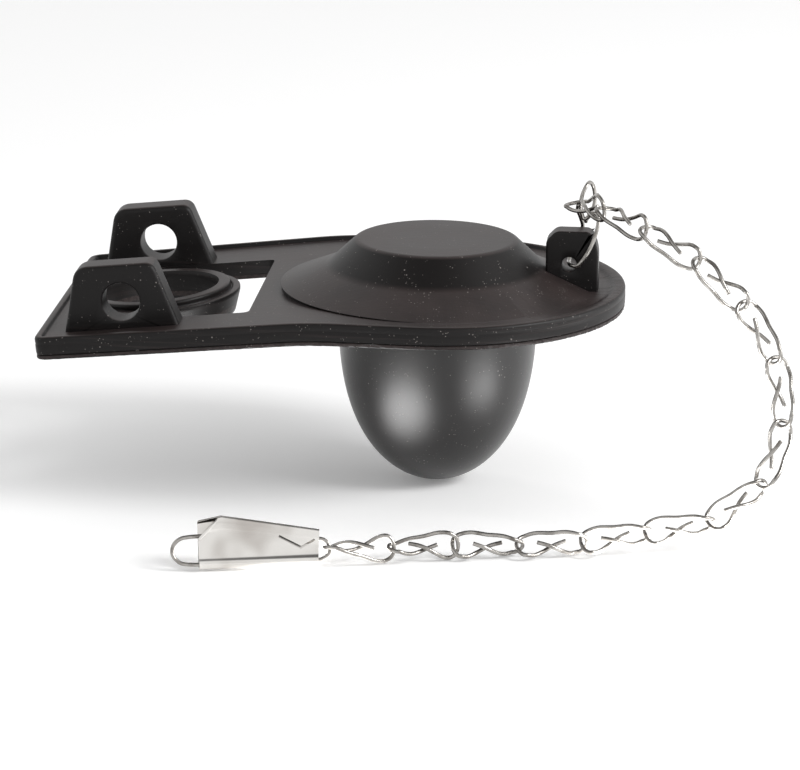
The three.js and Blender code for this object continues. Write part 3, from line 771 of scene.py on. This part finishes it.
rubber, steel, plated = (material(name, build) for name, build in (
    ("blackRubber", rubberNodes), ("steelWire", wireNodes), ("platedSheet", sheetNodes)))
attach(body, "flapper")
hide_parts("flapper_body")
pieces = [(body, rubber, "black_rubber"), (clipSleeve, plated, "plated_sheet")]
pieces += [(item, steel, "steel_wire") for item in [*links, clipWire]]
for item, look, slot in pieces:
    item.data.materials.clear()
    item.data.materials.append(look)
print("materials done")

studio = {
    "floorTone": 0.86, "floorSeen": 0.98, "floorGlow": 0.13, "floorReach": 3.0, "floorDrop": 0.1 * mm,
    "floorRoughness": 0.7, "floorSpecular": 0.1, "worldLight": 0.68,
    # what reflections see overhead, and the heights of a direction over which it begins
    "ceiling": 0.12, "ceilingFrom": (0.78, 0.97), "aim": (0.06, 0, -0.02),
    # name, place, width, height, watts
    "lamps": [
        ("rightKey", (0.72, -0.24, 0.46), 0.3, 0.3, 5.0),
        ("rightWall", (0.95, 0.05, 0.08), 0.5, 0.3, 2.2),
    ],
    # x, y, radius and strength of the pools of light on the floor that show in the bulb's skin, and the
    # shares of the radius at which a pool begins and is full
    "pools": [(0.038, -0.041, 0.018, 12.5), (0.116, -0.042, 0.021, 9.5)], "poolEdge": (1.6, 0.4),
}


# Masks of the rays that come straight from the camera, from a gloss and through glass
def rayKinds(t):
    kinds = ("Camera", "Glossy", "Transmission")
    return [t.node("ShaderNodeLightPath", output=f"Is {kind} Ray") for kind in kinds]


# Pale floor, nearly white to the camera and in reflections, so that its shadow stays; reflections also show
# two pools of light in front of the bulb
def floorNodes(t):
    direct, glossy, through = rayKinds(t)
    seen = direct + glossy + through
    tone = studio["floorTone"] + (studio["floorSeen"] - studio["floorTone"]) * seen
    begins, full = studio["poolEdge"]
    pools = 0.0
    for x, y, radius, strength in studio["pools"]:
        middle = (x, y, cadBox[0][2])
        away = t.node("ShaderNodeVectorMath", {"operation": "DISTANCE"}, [t.where(), middle], "Value")
        pools = strength * t.step(away, radius * begins, radius * full) + pools
    glow = studio["floorGlow"] * seen + glossy * pools
    return {"Base Color": t.node("ShaderNodeCombineColor", {}, [tone] * 3),
            "Roughness": studio["floorRoughness"], "Specular IOR Level": studio["floorSpecular"],
            "Emission Strength": 1.0, "Emission Color": t.node("ShaderNodeCombineColor", {}, [glow] * 3)}


# Floor, lamps and a white world, which is darker overhead in reflections and dimmer as a light
def addStudio():
    low, reach = cadBox[0][2] - studio["floorDrop"], studio["floorReach"]
    mesh = bpy.data.meshes.new("floor")
    corners = [(a * reach, b * reach, low) for a, b in ((-1, -1), (1, -1), (1, 1), (-1, 1))]
    mesh.from_pydata(corners, [], [(0, 1, 2, 3)])
    floor = bpy.data.objects.new("floor", mesh)
    bpy.context.collection.objects.link(floor)
    mesh.materials.append(material("paleFloor", floorNodes))
    for name, spot, width, height, watts in studio["lamps"]:
        data = bpy.data.lights.new(name, "AREA")
        data.shape, data.size, data.size_y, data.energy = "RECTANGLE", width, height, watts
        lamp = bpy.data.objects.new(name, data)
        lamp.location = spot
        lamp.rotation_euler = (Vector(studio["aim"]) - Vector(spot)).to_track_quat("-Z", "Y").to_euler()
        bpy.context.collection.objects.link(lamp)
    world = bpy.data.worlds.new("studio")
    bpy.context.scene.world = world
    world.use_nodes = True
    t = Tree(world.node_tree)
    direct, glossy, through = rayKinds(t)
    overhead = t.step(t.axis(t.node("ShaderNodeTexCoord", output="Generated"), "Z"), *studio["ceilingFrom"])
    reflected = 1.0 - (1 - studio["ceiling"]) * overhead
    diffuse = 1.0 - direct - glossy - through
    strength = direct + through + glossy * reflected + studio["worldLight"] * diffuse
    t.feed(t.nodes["Background"].inputs["Color"], (1, 1, 1, 1))
    t.feed(t.nodes["Background"].inputs["Strength"], strength)
    bpy.context.scene.view_settings.view_transform = "Standard"


addStudio()
print("studio done")
